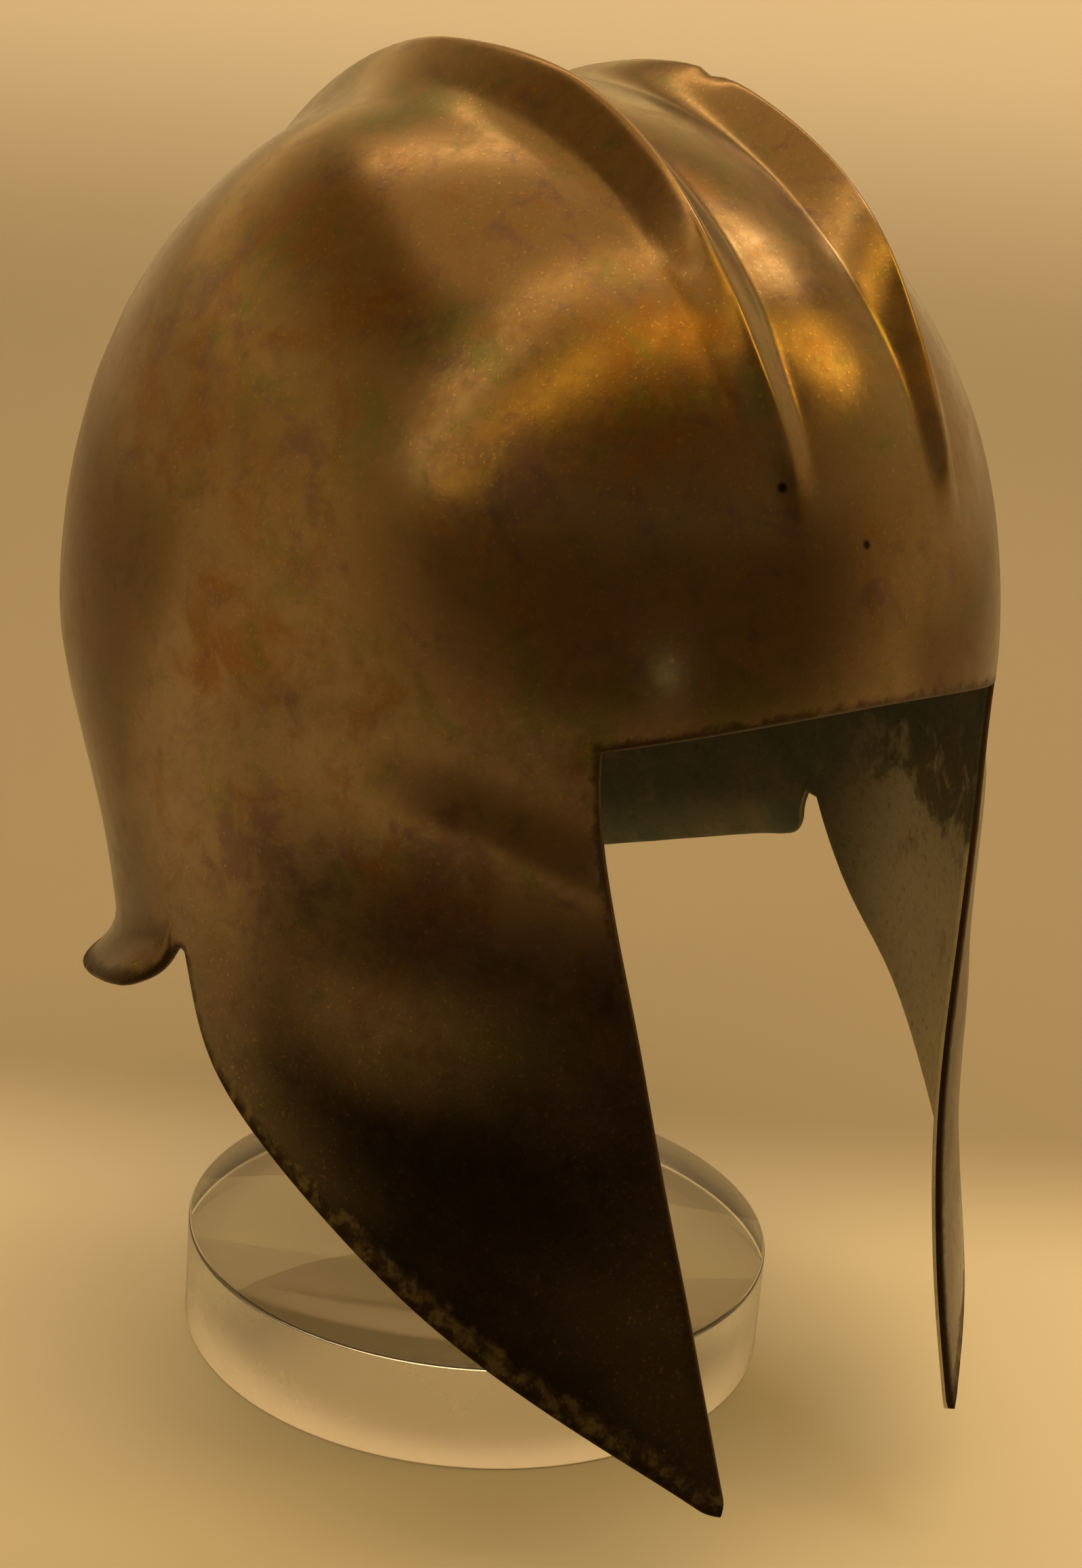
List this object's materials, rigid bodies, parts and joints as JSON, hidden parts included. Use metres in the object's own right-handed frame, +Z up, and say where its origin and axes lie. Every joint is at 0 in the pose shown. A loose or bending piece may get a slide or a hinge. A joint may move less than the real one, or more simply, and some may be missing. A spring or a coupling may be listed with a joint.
{
  "type": "ancient bronze helmet on a disc display stand",
  "caption": "Open-faced bronze helmet with twin crest ridges, fixed pointed cheek pieces and a flared neck lip, held on a clear post and disc display stand.",
  "frame": {"origin": "centre of the stand disc's underside", "axes": "+Z up; the face opening looks along -Y; +X is the wearer's left"},
  "size_m": [0.2045, 0.2294, 0.2989],
  "materials": {
    "aged_bronze": "worn brown patina",
    "clear_acrylic": "polished"
  },
  "bodies": {
    "root": {"helmet": "aged_bronze", "stand_base": "clear_acrylic", "stand_post": "clear_acrylic"}
  },
  "joints": []
}
